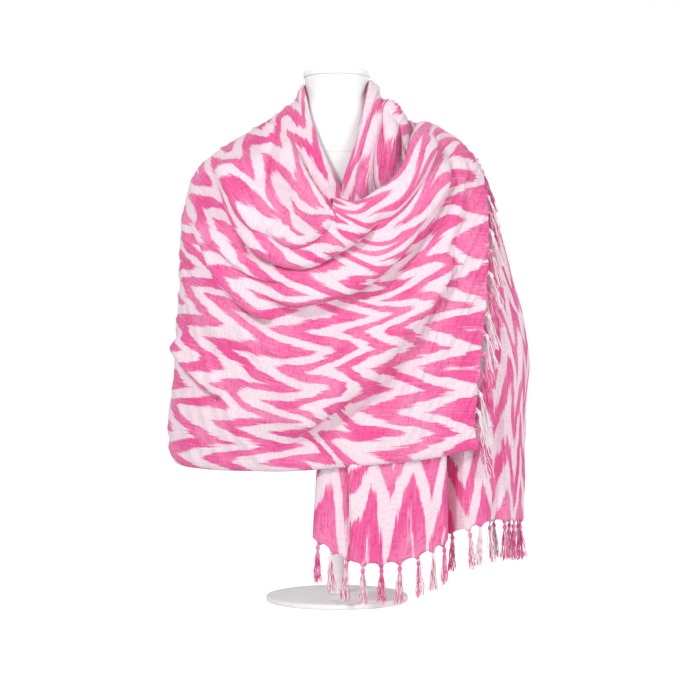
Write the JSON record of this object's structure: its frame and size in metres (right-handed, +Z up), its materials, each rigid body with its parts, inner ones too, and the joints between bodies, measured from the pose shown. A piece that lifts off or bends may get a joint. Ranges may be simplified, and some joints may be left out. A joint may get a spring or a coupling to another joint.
{
  "type": "tie-dye (ikat) shawl on a limbless dress form",
  "caption": "Pink and white zigzag ikat shawl with tasselled ends, wrapped round a plain limbless dress form on a short stand.",
  "frame": {"origin": "centre of the stand base's underside, on the dress form's axis", "axes": "+Z up, -Y the way the dress form faces, +X to the right of somebody who looks at its front"},
  "size_m": [0.6068, 0.3308, 0.894],
  "materials": {
    "ikat_cloth": "crinkled cotton, dyed in a pink and white zigzag ikat",
    "fringe_yarn": "twisted cotton yarn, pink and white",
    "form_white": "satin white",
    "stand_white": "powder-coated white"
  },
  "bodies": {
    "root": {"tail_stretch": "ikat_cloth", "back_stretch": "ikat_cloth", "wrap_stretch": "ikat_cloth", "fringe_tail_front": "fringe_yarn", "fringe_tail_side": "fringe_yarn", "fringe_wrap_upper": "fringe_yarn", "fringe_wrap_lower": "fringe_yarn", "form_torso": "form_white", "form_neck_cap": "form_white", "stand_base": "stand_white", "stand_pole": "stand_white", "stand_socket": "stand_white"}
  },
  "joints": []
}
